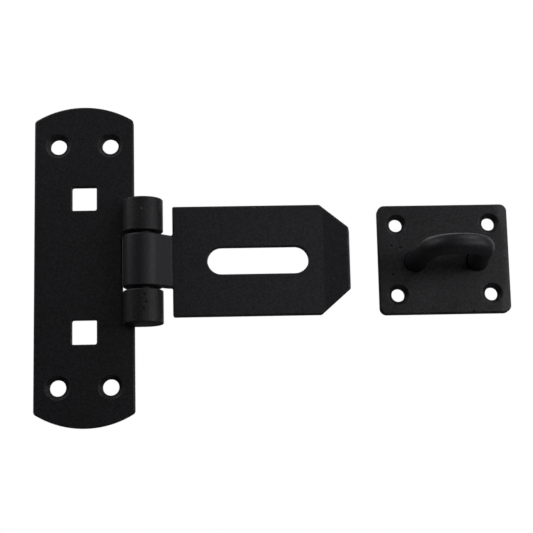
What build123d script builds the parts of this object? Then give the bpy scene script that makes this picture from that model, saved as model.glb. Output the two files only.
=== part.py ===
"""Heavy locking bar: a hasp strap hinged on a fixing plate, with its separate staple plate.

Millimetres. X runs right along the strap, Z runs up along the hinge pin and the front faces -Y.
The plane Y = 0 is the door and its frame: both plates lie on it. The origin is the middle of the
hinge plate's back face. The strap is shown closed, and the staple plate lies beside its tip.
"""
import os
from math import acos, atan2, cos, degrees, hypot, radians, sin, sqrt, tan

from build123d import *

# Steel strip and its punched edges
sheet = 4.5
edge_break = 0.5
hole_edge_break = 0.3

# Hinge barrel
pin_radius = 4.5
pin_clearance = 0.05
pin_peen = 0.9
pin_beyond_plate = 4.3
plate_knuckle_length = 15.0
strap_knuckle_length = 23.6
knuckle_gap = 1.5
knuckle_edge_break = 0.4
seam_gap = 0.4
notch_clearance = 0.5
notch_corner = 1.0

# Hinge plate
hinge_plate_width = 45.0
hinge_plate_length = 147.0
hinge_plate_end_radius = 42.0
hinge_plate_corner = 2.0
hinge_screw_side_margin = 10.7
hinge_screw_end_margin = 18.1
hinge_screw_bore = 3.7
hinge_screw_head = 5.6
coach_bolt_square = 11.3
coach_bolt_corner = 0.9
coach_bolt_pitch_z = 61.2

# Strap and staple plate are cut from one width of strip
strip_width = 50.0

# Strap: its lengths along X follow one another from the axis of the pin to the tip
shoulder_from_pin = 13.2
slot_from_shoulder = 15.6
slot_to_tip_bend = 7.0
tip_length = 11.4
seat_clearance = 0.3
shoulder_corner = 0.6
neck_corner = 0.8
joggle_setback = 0.4
joggle_bend_radius = 1.2
tip_bend_angle = 10.0
tip_bend_radius = 3.0
tip_chamfer_x = 13.0
tip_chamfer_z = 11.2
chamfer_corner = 1.5
tip_corner = 1.4
slot_play_along = 7.6
slot_play_across = 3.6
nick_width = 0.8
nick_length = 4.0
nick_slant = -63.0

# Staple plate and staple
staple_plate_width = 59.5
staple_plate_corner = 3.2
staple_screw_side_margin = 8.45
staple_screw_end_margin = 8.85
staple_screw_bore = 3.05
staple_screw_head = 4.8
bar_radius = 4.5
leg_pitch = 29.0
leg_lean = 5.0
staple_projection = 45.5
staple_right_of_middle = 0.9
staple_below_middle = 1.0
leg_hole_break = 0.7
leg_head_spread = 1.6
plates_apart = 13.7

# Full angle of every screw head's conical seat
screw_head_angle = 90.0

# How near to a plane an edge or a corner lies to count as in it
near = 0.01

# Sizes that follow
knuckle_bore = pin_radius + pin_clearance
knuckle_outside = knuckle_bore + sheet
knuckle_middle = knuckle_bore + sheet / 2
curl_turn = 360 - degrees(acos((knuckle_bore - seam_gap) / knuckle_outside))
pin_x = hinge_plate_width / 2 + pin_beyond_plate
pin_y = -knuckle_outside
barrel_half = strap_knuckle_length / 2 + knuckle_gap + plate_knuckle_length
strap_back_y = -(sheet + seat_clearance)
strap_middle_y = strap_back_y - sheet / 2
strap_front_y = strap_back_y - sheet
slot_length = leg_pitch + 2 * bar_radius + slot_play_along
slot_width = 2 * bar_radius + slot_play_across
shoulder_x = pin_x + shoulder_from_pin
slot_x = shoulder_x + slot_from_shoulder + slot_length / 2
tip_bend_x = slot_x + slot_length / 2 + slot_to_tip_bend
tip_x = tip_bend_x + tip_length
staple_x = tip_x + plates_apart + staple_plate_width / 2


def at(shapes, axis, place):
    """Those of the edges or corners that lie at one place along an axis."""
    return shapes.filter_by_position(axis, place - near, place + near)


def screw_hole(bore, head):
    """The space of a countersunk screw through one sheet on the plane Y = 0, open to the front."""
    sink = (head - bore) / tan(radians(screw_head_angle / 2))
    with BuildPart() as hole:
        with BuildSketch(Plane.XY):
            with BuildLine():
                Polyline((0, 0), (bore, 0), (bore, sink - sheet), (head, -sheet), (0, -sheet), close=True)
            make_face()
        revolve(axis=Axis.Y)
    return hole.part


def peened_cone(small_radius, spread):
    """A cone that widens by its own height, from the plane Z = 0 upwards."""
    return Cone(small_radius, small_radius + spread, spread, align=(Align.CENTER, Align.CENTER, Align.MIN))


def rolled(path, width):
    """Sheet of this width that follows a path drawn in plan."""
    with BuildPart() as part:
        with BuildSketch(Plane.XY):
            trace(path, line_width=sheet)
        extrude(amount=width / 2, both=True)
    return part.part


def near_corners(hole, middle_x, half_width, half_height):
    """Copies of a hole at the corners of an upright rectangle with its middle at middle_x."""
    return [
        Pos(middle_x + side * half_width, 0, level * half_height) * hole
        for side in (-1, 1)
        for level in (-1, 1)
    ]


def build_hinge_plate():
    """The pressed plate with its two rolled knuckles, screw holes and square bolt holes."""
    half_width = hinge_plate_width / 2
    half_length = hinge_plate_length / 2
    arc_rise = hinge_plate_end_radius - sqrt(hinge_plate_end_radius**2 - half_width**2)
    side_end = half_length - arc_rise
    notch_half = strap_knuckle_length / 2 + knuckle_gap
    notch_x = pin_x - knuckle_outside - notch_clearance

    with BuildSketch(Plane.XZ) as outline:
        with BuildLine():
            top = ThreePointArc((-half_width, side_end), (0, half_length), (half_width, side_end))
            low = ThreePointArc((half_width, -side_end), (0, -half_length), (-half_width, -side_end))
            Line(top @ 1, low @ 0)
            Line(low @ 1, top @ 0)
        make_face()
        fillet(outline.vertices(), hinge_plate_corner)
        with Locations((half_width, 0)):
            Rectangle(2 * (half_width - notch_x), 2 * notch_half, mode=Mode.SUBTRACT)
        fillet(at(outline.vertices(), Axis.X, notch_x), notch_corner)

    with BuildPart() as blank:
        add(extrude(outline.sketch, amount=sheet))
        chamfer(blank.faces().sort_by(Axis.Y)[0].edges(), edge_break)
        with BuildSketch(Plane.XZ):
            with GridLocations(0, coach_bolt_pitch_z, 1, 2):
                RectangleRounded(coach_bolt_square, coach_bolt_square, coach_bolt_corner)
        extrude(amount=sheet, mode=Mode.SUBTRACT)
        front = at(blank.edges(), Axis.Y, -sheet)
        square_rims = front.filter_by(lambda edge: abs(edge.center().X) < coach_bolt_square / 2 + near)
        square_rims = square_rims.filter_by(lambda edge: abs(edge.center().Z) < coach_bolt_pitch_z)
        chamfer(square_rims, hole_edge_break)

    with BuildLine(Plane.XY) as curl_path:
        Line((notch_x - sheet, -sheet / 2), (pin_x, -sheet / 2))
        CenterArc((pin_x, pin_y), knuckle_middle, 90, -curl_turn)
    curl = rolled(curl_path.line, plate_knuckle_length)
    outer_rims = curl.edges().filter_by(GeomType.CIRCLE).filter_by(
        lambda edge: abs(edge.radius - knuckle_outside) < near
    )
    curl = chamfer(outer_rims, knuckle_edge_break)
    knuckle_z = barrel_half - plate_knuckle_length / 2
    mouth = Pos(pin_x, pin_y, barrel_half - pin_peen) * peened_cone(pin_radius, pin_peen)

    plate = blank.part + Pos(0, 0, knuckle_z) * curl + Pos(0, 0, -knuckle_z) * curl
    plate -= [mouth, mirror(mouth, Plane.XY)]
    return plate - near_corners(
        screw_hole(hinge_screw_bore, hinge_screw_head),
        0,
        half_width - hinge_screw_side_margin,
        half_length - hinge_screw_end_margin,
    )


def build_hinge_pin():
    """The plain round pin, its two ends peened out into the mouths of the plate's knuckles."""
    shank = Cylinder(pin_radius, 2 * barrel_half)
    head = Pos(0, 0, barrel_half - pin_peen) * peened_cone(pin_radius, pin_peen)
    return Pos(pin_x, pin_y, 0) * (shank + head + mirror(head, Plane.XY))


def front_rims(solid, beyond_x):
    """The edges right of beyond_x where the walls of the sheet meet its front."""
    walls = [face for face in solid.faces() if abs(face.normal_at().Y) < 0.2]
    rims = ShapeList()
    for face in solid.faces():
        if face.normal_at().Y < -0.9 and face.center().X > beyond_x:
            for edge in face.edges():
                if any(edge.is_same(other) for wall in walls for other in wall.edges()):
                    rims.append(edge)
    return rims


def strap_path():
    """The middle of the strap's sheet, in plan: the roll round the pin, the joggle, the blade, the tip."""
    front_rise = pin_y - strap_front_y
    bend_x = shoulder_from_pin - joggle_setback
    leave = atan2(front_rise, bend_x) + acos(knuckle_outside / hypot(bend_x, front_rise))
    middle_rise = pin_y - strap_middle_y
    joggle_x = (knuckle_middle - middle_rise * sin(leave)) / cos(leave)
    tip_rise = tip_length * tan(radians(tip_bend_angle))
    with BuildLine(Plane.XY) as path:
        FilletPolyline(
            (pin_x + knuckle_middle * cos(leave), pin_y - knuckle_middle * sin(leave)),
            (pin_x + joggle_x, strap_middle_y),
            (tip_bend_x, strap_middle_y),
            (tip_x, strap_middle_y - tip_rise),
            radius=[joggle_bend_radius + sheet / 2, tip_bend_radius + sheet / 2],
        )
        CenterArc((pin_x, pin_y), knuckle_middle, -degrees(leave), -curl_turn)
    return path.line


def build_strap():
    """The hasp strap: a blade with a bent finger tip, and a narrower joggled tab rolled round the pin."""
    half_width = strip_width / 2
    half_tab = strap_knuckle_length / 2
    chamfer_x = tip_x - tip_chamfer_x
    past_tip = sheet
    past_drop = past_tip * tip_chamfer_z / tip_chamfer_x
    tip_half = half_width - tip_chamfer_z

    with BuildSketch(Plane.XZ) as outline:
        with BuildLine():
            Polyline(
                (shoulder_x, half_width),
                (chamfer_x, half_width),
                (tip_x + past_tip, tip_half - past_drop),
                (tip_x + past_tip, past_drop - tip_half),
                (chamfer_x, -half_width),
                (shoulder_x, -half_width),
                close=True,
            )
        make_face()
        with Locations((shoulder_x + sheet, 0)):
            Rectangle(
                shoulder_from_pin + knuckle_outside + 2 * sheet,
                strap_knuckle_length,
                align=(Align.MAX, Align.CENTER),
            )
        shoulders = at(outline.vertices(), Axis.X, shoulder_x)
        fillet(shoulders.filter_by(lambda corner: abs(corner.Z) > half_tab + near), shoulder_corner)
        fillet(shoulders.filter_by(lambda corner: abs(corner.Z) < half_tab + near), neck_corner)
        fillet(at(outline.vertices(), Axis.X, chamfer_x), chamfer_corner)

    strap = rolled(strap_path(), strip_width) & extrude(outline.sketch, amount=3 * knuckle_outside)
    end_edges = strap.faces().sort_by(Axis.X)[-1].edges()
    strap = fillet(end_edges.filter_by(Axis.Z, reverse=True), tip_corner)
    strap = chamfer(front_rims(strap, shoulder_x), edge_break)

    slot_space = Plane.XZ * Pos(slot_x, 0) * SlotOverall(slot_length, slot_width)
    strap -= extrude(slot_space, amount=knuckle_outside + sheet)
    slot_rim = [
        edge
        for edge in at(strap.edges(), Axis.Y, strap_front_y)
        if abs(edge.center().Z) < slot_width / 2 + near
        and abs(edge.center().X - slot_x) < slot_length / 2
    ]
    strap = chamfer(slot_rim, hole_edge_break)
    nick = Rot(0, nick_slant, 0) * Rot(0, 0, 45) * Box(nick_width, nick_width, nick_length)
    return strap - Pos(slot_x - nick_length / 2, strap_front_y, half_width) * nick


def at_legs(shape):
    """Copies of a shape on the staple's legs, its Y along the leg from where that leaves the plate."""
    middle_x = staple_x + staple_right_of_middle
    return [
        Pos(middle_x + side * leg_pitch / 2, -sheet, -staple_below_middle) * Rot(0, 0, -side * leg_lean) * shape
        for side in (-1, 1)
    ]


def build_staple():
    """The round bar bent to a U with legs that lean together, riveted flush in the plate's back."""
    lean = radians(leg_lean)
    reach = staple_projection - bar_radius
    bend_radius = (leg_pitch / 2 * cos(lean) - reach * sin(lean)) / (1 - sin(lean))
    past_back = leg_pitch / 2 + 2 * sheet * tan(lean)
    with BuildLine(Plane.XY) as bar_path:
        bend = CenterArc((0, bend_radius - sheet - reach), bend_radius, 180 + leg_lean, 180 - 2 * leg_lean)
        Line((-past_back, sheet), bend @ 0)
        Line(bend @ 1, (past_back, sheet))
    bar = sweep(Plane(bar_path.line ^ 0) * Circle(bar_radius), path=bar_path.line)
    bar = Pos(staple_x + staple_right_of_middle, 0, -staple_below_middle) * bar
    head = Pos(0, sheet - leg_head_spread, 0) * Rot(-90, 0, 0) * peened_cone(bar_radius, 2 * leg_head_spread)
    return split(bar + at_legs(head), bisect_by=Plane.XZ, keep=Keep.TOP)


def build_staple_plate(staple):
    """The small flat plate of the staple, with screw holes and seats that the staple's legs fill."""
    outline = Pos(staple_x, 0) * RectangleRounded(staple_plate_width, strip_width, staple_plate_corner)
    plate = extrude(Plane.XZ * outline, amount=sheet)
    plate = chamfer(plate.faces().sort_by(Axis.Y)[0].edges(), edge_break)
    plate -= near_corners(
        screw_hole(staple_screw_bore, staple_screw_head),
        staple_x,
        staple_plate_width / 2 - staple_screw_side_margin,
        strip_width / 2 - staple_screw_end_margin,
    )
    rim = Pos(0, leg_hole_break, 0) * Rot(90, 0, 0) * peened_cone(bar_radius, 2 * leg_hole_break)
    plate -= at_legs(rim)
    return plate - staple


staple = build_staple()
pieces = {
    "hinge_plate": build_hinge_plate(),
    "hinge_pin": build_hinge_pin(),
    "strap": build_strap(),
    "staple_plate": build_staple_plate(staple),
    "staple": staple,
}
os.makedirs("parts", exist_ok=True)
for node, piece in pieces.items():
    export_step(piece, f"parts/{node}.step")
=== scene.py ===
"""Looks of the heavy locking bar: black powder coat over pressed steel, on a pale stage under soft light.

Metres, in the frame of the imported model: X right along the strap, Z up along the hinge pin, front -Y.
"""
import math

import bmesh
import bpy
from mathutils import Matrix, Vector


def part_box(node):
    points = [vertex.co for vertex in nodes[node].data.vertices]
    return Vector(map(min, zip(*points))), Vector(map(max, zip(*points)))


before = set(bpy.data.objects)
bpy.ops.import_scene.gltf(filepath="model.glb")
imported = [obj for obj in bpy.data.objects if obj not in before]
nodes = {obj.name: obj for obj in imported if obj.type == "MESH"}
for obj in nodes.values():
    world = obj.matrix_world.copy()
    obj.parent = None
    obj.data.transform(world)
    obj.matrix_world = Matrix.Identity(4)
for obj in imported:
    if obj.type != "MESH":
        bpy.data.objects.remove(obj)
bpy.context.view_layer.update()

millimetre = 0.001
micron = 0.001 * millimetre

# Places on the object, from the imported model
pin_low, pin_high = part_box("hinge_pin")
pin_x = (pin_low.x + pin_high.x) / 2
staple_plate_low, staple_plate_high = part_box("staple_plate")
shoulder_from_pin = 13.2 * millimetre

# Black powder coat: linear colours of the full coat; of a coat drawn back over an edge, which also paints
# highlights on the edges and down the staple plate's right edge; and of a pinhole, which also paints
# shade in the strap's nick
coat_black = (0.0064, 0.0064, 0.0078, 1)
coat_thin_and_painted_highlight = (0.05, 0.05, 0.053, 1)
coat_pit_and_painted_shade = (0.0015, 0.0015, 0.0016, 1)
coat_reflectance = 0.15

# Sizes of its texture, and how far its tone and its roughness change over it
fine_grain = 0.75 * millimetre
coarse_grain = 0.95 * millimetre
peel_size = 2.6 * millimetre
drift_size = 28 * millimetre
drift_least, drift_most = 0.93, 1.07
grain_sheen = 0.05
# The band along every edge: the coat drawn back there, and a painted highlight on the edge's rounding
edge_band_width = 0.45 * millimetre
edge_band_break_size = 4 * millimetre

# Pinholes scattered over the coat, and how deep and dull any pinhole is
pinhole_cell = 7 * millimetre
pinhole_radius = 0.28 * millimetre
pinhole_share = 0.22
pinhole_depth = 0.16 * millimetre
pinhole_dullness = 0.4

# How much smoother the coat is where the sheet was rolled
rolled_sheen = 0.05
rolled_grain_loss = 0.45

# A painted highlight: a pale band down the right edge of the staple plate, standing for light reflected
# there
highlight_band_narrow = 1.6 * millimetre
highlight_band_wide = 4.5 * millimetre
highlight_band_widens_from = 0.3
highlight_band_waver = 10 * millimetre
highlight_band_border = 0.8 * millimetre
highlight_band_strength = 0.38

# Single marks, each X, Y, Z and radius in millimetres: pinholes and bare specks of the coat, and on the
# strap painted shade in its nick
knuckle_pinholes = [
    (26.7, -18.1, -12.5, 0.55),
    (28.9, -17.9, -13.0, 0.5),
    (27.8, -18.0, -16.1, 0.85),
    (28.4, -18.0, -19.6, 0.75),
    (27.4, -18.1, -22.3, 0.75),
    (19.8, -14.8, -12.4, 0.7),
]
hinge_plate_specks = [
    (26.8, -18.1, 22.7, 0.5),
    (20.0, -4.5, -27.8, 0.6),
]
# Painted shade: dark marks near the nick in the strap's top edge, darkening its lit wall
strap_nick_painted_shade = [
    (77.0, -9.6, 24.7, 0.65),
    (77.6, -9.6, 24.4, 0.65),
    (78.2, -9.5, 24.1, 0.55),
]
staple_plate_pinholes = [
    (139.3, -4.5, 6.3, 0.65),
    (143.4, -4.5, 5.5, 0.75),
    (139.5, -4.5, -6.9, 0.85),
    (175.6, -4.5, -24.3, 0.65),
]


def put(tree, kind, values=None, **settings):
    """Adds a node, with its settings, and fills its inputs with plain values or other nodes' outputs."""
    node = tree.nodes.new(kind)
    for key, value in settings.items():
        setattr(node, key, value)
    for socket, value in (values or {}).items():
        if isinstance(value, bpy.types.NodeSocket):
            tree.links.new(value, node.inputs[socket])
        else:
            node.inputs[socket].default_value = value
    return node


def reckon(tree, operation, *values):
    """The output of a Math node."""
    return put(tree, "ShaderNodeMath", dict(enumerate(values)), operation=operation).outputs[0]


def ramp(tree, value, low, high, to_low=0.0, to_high=1.0):
    """A value eased from one range to another."""
    sockets = {"Value": value, "From Min": low, "From Max": high, "To Min": to_low, "To Max": to_high}
    return put(tree, "ShaderNodeMapRange", sockets, interpolation_type="SMOOTHSTEP").outputs["Result"]


def blend_colours(tree, share, first, second):
    """The output of a Mix node for colours."""
    node = put(tree, "ShaderNodeMix", {"Factor": share}, data_type="RGBA")
    for label, colour in (("A", first), ("B", second)):
        socket = next(s for s in node.inputs if s.name == label and s.type == "RGBA")
        if isinstance(colour, bpy.types.NodeSocket):
            tree.links.new(colour, socket)
        else:
            socket.default_value = colour
    return next(s for s in node.outputs if s.type == "RGBA")


def new_group(name, inputs, outputs):
    """A shader node group with its sockets, its input node and its output node."""
    group = bpy.data.node_groups.new(name, "ShaderNodeTree")
    for label, kind in inputs:
        group.interface.new_socket(label, in_out="INPUT", socket_type=f"NodeSocket{kind}")
    for label, kind in outputs:
        group.interface.new_socket(label, in_out="OUTPUT", socket_type=f"NodeSocket{kind}")
    return group, put(group, "NodeGroupInput").outputs, put(group, "NodeGroupOutput")


def use(tree, group, **values):
    """Places a node group and fills its inputs by their names, with spaces for underscores."""
    node = tree.nodes.new("ShaderNodeGroup")
    node.node_tree = group
    for key, value in values.items():
        socket = node.inputs[key.replace("_", " ")]
        if isinstance(value, bpy.types.NodeSocket):
            tree.links.new(value, socket)
        else:
            socket.default_value = value
    return node.outputs


def noise(tree, place, size, detail, roughness=0.5):
    """Smooth noise from 0 to 1 with lumps of about this size."""
    scale = reckon(tree, "DIVIDE", 1.0, size)
    sockets = {"Vector": place, "Scale": scale, "Detail": detail, "Roughness": roughness}
    return put(tree, "ShaderNodeTexNoise", sockets).outputs[0]


def within(tree, away, radius):
    """1 in the inner half of this radius, easing to 0 at the radius."""
    return ramp(tree, away, radius, reckon(tree, "MULTIPLY", radius, 0.5))


def powder_grain_group():
    """The skin of baked powder: fine grain, orange peel, and slow drift of the coat's thickness."""
    inputs = [("Place", "Vector"), ("Grain Size", "Float"), ("Peel Size", "Float"), ("Drift Size", "Float")]
    outputs = [("Grain", "Float"), ("Peel", "Float"), ("Drift", "Float")]
    group, given, out = new_group("powder_grain", inputs, outputs)
    grain = noise(group, given["Place"], given["Grain Size"], detail=2.0, roughness=0.6)
    peel = noise(group, given["Place"], given["Peel Size"], detail=1.0)
    drift = noise(group, given["Place"], given["Drift Size"], detail=2.0)
    for label, value in (("Grain", grain), ("Peel", peel), ("Drift", drift)):
        group.links.new(value, out.inputs[label])
    return group


def thin_coat_and_highlit_edges_group():
    """Lighter edges: 1 on the edge, 0 one width away, broken up a little. The lighter colour is partly the
    coat drawn back from the edge and partly a painted highlight on the edge's rounding.
    """
    inputs = [("Place", "Vector"), ("Width", "Float"), ("Break Size", "Float")]
    group, given, out = new_group("thin_coat_and_highlit_edges", inputs, [("Edge", "Float"), ("Normal", "Vector")])
    bevel_rays = 6
    rounded = put(group, "ShaderNodeBevel", {"Radius": given["Width"]}, samples=bevel_rays).outputs[0]
    true_normal = put(group, "ShaderNodeNewGeometry").outputs["Normal"]
    normals = {0: rounded, 1: true_normal}
    likeness = put(group, "ShaderNodeVectorMath", normals, operation="DOT_PRODUCT").outputs["Value"]
    flat_likeness, edge_likeness = 0.995, 0.90
    edge = ramp(group, likeness, flat_likeness, edge_likeness)
    broken_from, whole_from = 0.3, 0.6
    patches = noise(group, given["Place"], given["Break Size"], detail=2.0)
    breaks = ramp(group, patches, broken_from, whole_from)
    group.links.new(reckon(group, "MULTIPLY", edge, breaks), out.inputs["Edge"])
    group.links.new(rounded, out.inputs["Normal"])
    return group


def pinholes_group():
    """Scattered pinhole marks in the coat, one in a share of the cells."""
    inputs = [("Place", "Vector"), ("Cell", "Float"), ("Radius", "Float"), ("Share", "Float")]
    group, given, out = new_group("coat_pinholes", inputs, [("Pit", "Float")])
    scale = reckon(group, "DIVIDE", 1.0, given["Cell"])
    cells = put(group, "ShaderNodeTexVoronoi", {"Vector": given["Place"], "Scale": scale})
    away = reckon(group, "MULTIPLY", cells.outputs["Distance"], given["Cell"])
    near = within(group, away, given["Radius"])
    chance = put(group, "ShaderNodeSeparateColor", {0: cells.outputs["Color"]}).outputs[0]
    is_chosen = reckon(group, "LESS_THAN", chance, given["Share"])
    group.links.new(reckon(group, "MULTIPLY", near, is_chosen), out.inputs["Pit"])
    return group


def round_mark_group():
    """One small round mark on the front of a piece: 1 in its middle, 0 outside its radius."""
    inputs = [("Place", "Vector"), ("Middle", "Vector"), ("Radius", "Float")]
    group, given, out = new_group("round_mark", inputs, [("Mark", "Float")])
    ends = {0: given["Place"], 1: given["Middle"]}
    away = put(group, "ShaderNodeVectorMath", ends, operation="DISTANCE").outputs["Value"]
    group.links.new(within(group, away, given["Radius"]), out.inputs["Mark"])
    return group


powder_grain = powder_grain_group()
thin_coat_and_highlit_edges = thin_coat_and_highlit_edges_group()
coat_pinholes = pinholes_group()
round_mark = round_mark_group()


def with_marks(tree, place, share, marks):
    """A share raised to 1 at single round marks."""
    for x, y, z, radius in marks:
        middle = Vector((x, y, z)) * millimetre
        mark = use(tree, round_mark, Place=place, Middle=middle, Radius=radius * millimetre)["Mark"]
        share = reckon(tree, "MAXIMUM", share, mark)
    return share


def rolled_tab(tree, place):
    """1 on the strap's knuckle and tab, 0 on its blade."""
    across = put(tree, "ShaderNodeSeparateXYZ", {0: place}).outputs["X"]
    shoulder = pin_x + shoulder_from_pin
    half_border = 0.5 * millimetre
    return ramp(tree, across, shoulder + half_border, shoulder - half_border)


def painted_highlight_band(tree, place, grain):
    """Painted highlight along the staple plate's right edge: a ragged band, wider at its ends."""
    axes = put(tree, "ShaderNodeSeparateXYZ", {0: place}).outputs
    middle_height = (staple_plate_low.z + staple_plate_high.z) / 2
    half_height = (staple_plate_high.z - staple_plate_low.z) / 2
    off_middle = reckon(tree, "ABSOLUTE", reckon(tree, "SUBTRACT", axes["Z"], middle_height))
    widens_from = highlight_band_widens_from * half_height
    width = ramp(tree, off_middle, widens_from, half_height, highlight_band_narrow, highlight_band_wide)
    from_edge = reckon(tree, "SUBTRACT", staple_plate_high.x, axes["X"])
    centred_grain = reckon(tree, "SUBTRACT", grain, 0.5)
    ragged = reckon(tree, "MULTIPLY_ADD", centred_grain, highlight_band_waver, from_edge)
    past_band = reckon(tree, "SUBTRACT", ragged, width)
    return ramp(tree, past_band, highlight_band_border, -highlight_band_border, 0.0, highlight_band_strength)


def coat_material(
    name,
    shade,
    sheen,
    grain_size,
    grain_depth,
    peel_depth,
    grain_tone,
    rolled=None,
    painted_highlight=None,
    pinholes_and_painted_shade=(),
    specks=(),
):
    """Black powder coat. shade scales its colour: a painted lighter or darker copy of the coat for how the
    light falls on each piece. sheen is its roughness, the depths are in metres and grain_tone is how
    much the colour changes over the grain. The last four arguments give where the sheet was rolled, a
    painted highlight band along an edge, single pinhole marks that on the strap paint shade in its nick,
    and single bare specks of the coat."""
    material = bpy.data.materials.new(name)
    material.use_nodes = True
    tree = material.node_tree
    shader = tree.nodes["Principled BSDF"]
    shader.inputs["Specular IOR Level"].default_value = coat_reflectance
    place = put(tree, "ShaderNodeTexCoord").outputs["Object"]
    skin = use(
        tree, powder_grain, Place=place, Grain_Size=grain_size, Peel_Size=peel_size, Drift_Size=drift_size
    )
    grain = skin["Grain"]
    edge = use(tree, thin_coat_and_highlit_edges, Place=place, Width=edge_band_width, Break_Size=edge_band_break_size)
    scattered = use(
        tree, coat_pinholes, Place=place, Cell=pinhole_cell, Radius=pinhole_radius, Share=pinhole_share
    )
    # Pits: pinholes, and on the strap painted shade in its nick
    pits_and_painted_shade = with_marks(tree, place, scattered["Pit"], pinholes_and_painted_shade)
    # Lighter colour: on the edges partly a coat drawn back and partly a painted highlight, down the staple
    # plate's right edge a painted highlight, and at the specks the coat worn bare
    thin_coat_and_highlight_share = edge["Edge"]
    if painted_highlight:
        thin_coat_and_highlight_share = reckon(tree, "MAXIMUM", thin_coat_and_highlight_share, painted_highlight(tree, place, grain))
    thin_coat_and_highlight_share = with_marks(tree, place, thin_coat_and_highlight_share, specks)

    grain_low, grain_high = 0.33, 0.67
    tone = ramp(tree, grain, grain_low, grain_high, shade * (1 - grain_tone), shade * (1 + grain_tone))
    drift_low, drift_high = 0.25, 0.75
    drift = ramp(tree, skin["Drift"], drift_low, drift_high, drift_least, drift_most)
    tone = reckon(tree, "MULTIPLY", tone, drift)
    base = put(tree, "ShaderNodeVectorMath", {0: coat_black[:3], "Scale": tone}, operation="SCALE")
    colour = blend_colours(tree, thin_coat_and_highlight_share, base.outputs[0], coat_thin_and_painted_highlight)
    colour = blend_colours(tree, pits_and_painted_shade, colour, coat_pit_and_painted_shade)
    tree.links.new(colour, shader.inputs["Base Color"])

    rough_low, rough_high = 0.2, 0.8
    roughness = ramp(tree, grain, rough_low, rough_high, sheen + grain_sheen, sheen - grain_sheen)
    depth = grain_depth
    if rolled:
        share = rolled(tree, place)
        roughness = reckon(tree, "SUBTRACT", roughness, reckon(tree, "MULTIPLY", share, rolled_sheen))
        kept = reckon(tree, "SUBTRACT", 1.0, reckon(tree, "MULTIPLY", share, rolled_grain_loss))
        depth = reckon(tree, "MULTIPLY", kept, depth)
    roughness = reckon(tree, "MULTIPLY_ADD", pits_and_painted_shade, pinhole_dullness, roughness)
    tree.links.new(roughness, shader.inputs["Roughness"])

    height = reckon(tree, "MULTIPLY", grain, depth)
    height = reckon(tree, "MULTIPLY_ADD", skin["Peel"], peel_depth, height)
    height = reckon(tree, "MULTIPLY_ADD", pits_and_painted_shade, -pinhole_depth, height)
    bump_sockets = {"Strength": 1.0, "Distance": 1.0, "Height": height, "Normal": edge["Normal"]}
    bump = put(tree, "ShaderNodeBump", bump_sockets)
    tree.links.new(bump.outputs["Normal"], shader.inputs["Normal"])
    return material


# shade is painted light: each piece gets a lighter or darker copy of the same coat for how the light falls
# on it, the strap painted lighter and the plates a little darker
coats = {
    "hinge_plate": coat_material(
        "plate_powder_coat",
        shade=0.94,
        sheen=0.5,
        grain_size=coarse_grain,
        grain_depth=52 * micron,
        peel_depth=12 * micron,
        grain_tone=0.52,
        pinholes_and_painted_shade=knuckle_pinholes,
        specks=hinge_plate_specks,
    ),
    "strap": coat_material(
        "strap_powder_coat",
        shade=1.3,
        sheen=0.5,
        grain_size=fine_grain,
        grain_depth=45 * micron,
        peel_depth=12 * micron,
        grain_tone=0.4,
        rolled=rolled_tab,
        pinholes_and_painted_shade=strap_nick_painted_shade,
    ),
    "staple_plate": coat_material(
        "staple_plate_powder_coat",
        shade=0.95,
        sheen=0.48,
        grain_size=coarse_grain,
        grain_depth=48 * micron,
        peel_depth=30 * micron,
        grain_tone=0.55,
        # a painted highlight down the plate's right edge
        painted_highlight=painted_highlight_band,
        pinholes_and_painted_shade=staple_plate_pinholes,
    ),
    "staple": coat_material(
        "drawn_bar_powder_coat",
        shade=1.0,
        sheen=0.5,
        grain_size=fine_grain,
        grain_depth=40 * micron,
        peel_depth=40 * micron,
        grain_tone=0.5,
    ),
    "hinge_pin": coat_material(
        "peened_pin_powder_coat",
        shade=1.0,
        sheen=0.42,
        grain_size=fine_grain,
        grain_depth=10 * micron,
        peel_depth=60 * micron,
        grain_tone=0.12,
    ),
}
for name, coat in coats.items():
    nodes[name].data.materials.clear()
    nodes[name].data.materials.append(coat)


# The stage: matt sheets, with the floor well below the object. The backdrop stands to the right and
# above, so the gaps of the hinge and the hole walls stay dark.
matt_roughness = 0.9
floor_drop = 1.2
floor_reach = 3.0
floor_colour = (0.8, 0.8, 0.8, 1)
floor_glow = 0.3
backdrop_y = 1.3
backdrop_width = 1.4
backdrop_middle = 1.06
backdrop_low = 0.0
backdrop_height = 1.2
backdrop_colour = (0.02, 0.02, 0.02, 1)
backdrop_glow = 1.0


def stage_sheet(name, half_width, half_depth, place):
    """A flat sheet of the stage, facing up until place turns it."""
    spread = place @ Matrix.Diagonal((half_width, half_depth, 1, 1))
    form = bmesh.new()
    bmesh.ops.create_grid(form, x_segments=1, y_segments=1, size=1, matrix=spread)
    mesh = bpy.data.meshes.new(name)
    form.to_mesh(mesh)
    form.free()
    sheet = bpy.data.objects.new(name, mesh)
    bpy.context.scene.collection.objects.link(sheet)
    return sheet


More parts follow.
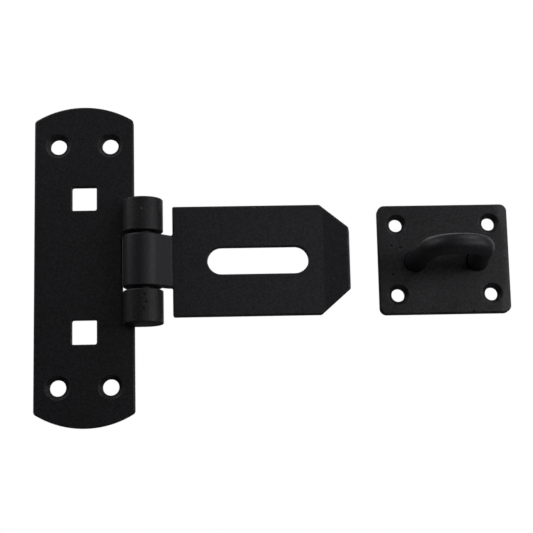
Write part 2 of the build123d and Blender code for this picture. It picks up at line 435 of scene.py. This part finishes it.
def pale_material(name, colour, glow, rays):
    """A pale sheet that adds its own light only where the camera, or these other rays, look at it. It is
    clear from behind."""
    material = bpy.data.materials.new(name)
    material.use_nodes = True
    tree = material.node_tree
    shader = tree.nodes["Principled BSDF"]
    shader.inputs["Base Color"].default_value = colour
    shader.inputs["Roughness"].default_value = matt_roughness
    light_path = put(tree, "ShaderNodeLightPath").outputs
    seen = light_path["Is Camera Ray"]
    for ray in rays:
        seen = reckon(tree, "MAXIMUM", seen, light_path[ray])
    glowing = put(tree, "ShaderNodeEmission", {"Strength": reckon(tree, "MULTIPLY", seen, glow)})
    front = put(tree, "ShaderNodeAddShader", {0: shader.outputs[0], 1: glowing.outputs[0]})
    clear = put(tree, "ShaderNodeBsdfTransparent")
    back = put(tree, "ShaderNodeNewGeometry").outputs["Backfacing"]
    surface = put(tree, "ShaderNodeMixShader", {0: back, 1: front.outputs[0], 2: clear.outputs[0]})
    tree.links.new(surface.outputs[0], tree.nodes["Material Output"].inputs["Surface"])
    return material


floor = stage_sheet("floor", floor_reach, floor_reach, Matrix.Translation((0, 0, -floor_drop)))
floor.visible_diffuse = False
floor.data.materials.append(pale_material("pale_floor", floor_colour, floor_glow, ()))

backdrop_place = Matrix.Translation((backdrop_middle, backdrop_y, backdrop_low + backdrop_height / 2))
upright = backdrop_place @ Matrix.Rotation(math.radians(90), 4, "X")
backdrop = stage_sheet("backdrop", backdrop_width / 2, backdrop_height / 2, upright)
backdrop_rays = ("Is Glossy Ray", "Is Transmission Ray")
backdrop.data.materials.append(
    pale_material("white_backdrop", backdrop_colour, backdrop_glow, backdrop_rays)
)

# The room is dim for the object and white for the camera
room_colour = (0.06, 0.06, 0.06, 1)
world = bpy.data.worlds.new("studio")
bpy.context.scene.world = world
world.use_nodes = True
studio = world.node_tree
room = studio.nodes["Background"]
room.inputs["Color"].default_value = room_colour
white = put(studio, "ShaderNodeBackground", {"Color": (1, 1, 1, 1)})
seen_by_camera = put(studio, "ShaderNodeLightPath").outputs["Is Camera Ray"]
either = put(studio, "ShaderNodeMixShader", {0: seen_by_camera, 1: room.outputs[0], 2: white.outputs[0]})
studio.links.new(either.outputs[0], studio.nodes["World Output"].inputs["Surface"])


# The middle of the set, at which every lamp is aimed
lit_point = Vector((0.08, 0, 0))


def soft_lamp(name, round_right, up, distance, width, height, radiance):
    """An oval soft lamp aimed at the set. round_right is its angle from the front towards the right,
    up its angle above the level, both in degrees, and radiance what the lamp's face shows."""
    round_right, up = math.radians(round_right), math.radians(up)
    level = math.cos(up)
    way = Vector((math.sin(round_right) * level, -math.cos(round_right) * level, math.sin(up)))
    lamp = bpy.data.lights.new(name, "AREA")
    lamp.shape = "ELLIPSE"
    lamp.size = width
    lamp.size_y = height
    lamp.energy = radiance * math.pi * (math.pi * width * height / 4)
    lamp_object = bpy.data.objects.new(name, lamp)
    lamp_object.location = lit_point + distance * way
    lamp_object.rotation_euler = way.to_track_quat("Z", "Y").to_euler()
    lamp_object.visible_camera = False
    bpy.context.scene.collection.objects.link(lamp_object)


# Each lamp: its angles to the right and up, then distance, width, height and radiance.
# The strips stand nearly level with the object, so the staple's bar keeps them off the space under it.
lamps = {
    "right_strip": (43, 3, 0.45, 0.20, 0.14, 9.0),
    "far_right_strip": (69, 3, 0.45, 0.20, 0.14, 7.3),
    "front_strip": (8, 3, 0.45, 0.20, 0.14, 3.3),
    "top_right": (62, 50, 0.9, 0.60, 0.60, 5.6),
    "top_left": (-76, 42, 0.38, 0.34, 0.34, 3.7),
    "left": (-84, 10, 0.9, 0.36, 0.36, 1.6),
    "below": (0, -80, 0.9, 0.60, 0.60, 0.5),
    "behind": (180, 40, 0.9, 0.60, 0.60, 1.8),
}
for name, values in lamps.items():
    soft_lamp(name, *values)

# The photograph's camera
frame_pixels = 533
focal_pixels = 1400
camera_yaw = math.radians(1.97)
camera_pitch = math.radians(10.14)
camera_roll = math.radians(-1.30)
camera_place = Vector((0.0608, -0.6278, -0.1138))
camera = bpy.data.cameras.new("camera")
camera.sensor_width = 36
camera.lens = focal_pixels / frame_pixels * camera.sensor_width
camera_object = bpy.data.objects.new("camera", camera)
camera_object.location = camera_place
turn = Matrix.Rotation(-camera_yaw, 4, "Z") @ Matrix.Rotation(math.pi / 2 + camera_pitch, 4, "X")
camera_object.rotation_euler = (turn @ Matrix.Rotation(camera_roll, 4, "Z")).to_euler()
bpy.context.scene.collection.objects.link(camera_object)
bpy.context.scene.camera = camera_object
bpy.context.scene.view_settings.view_transform = "Standard"
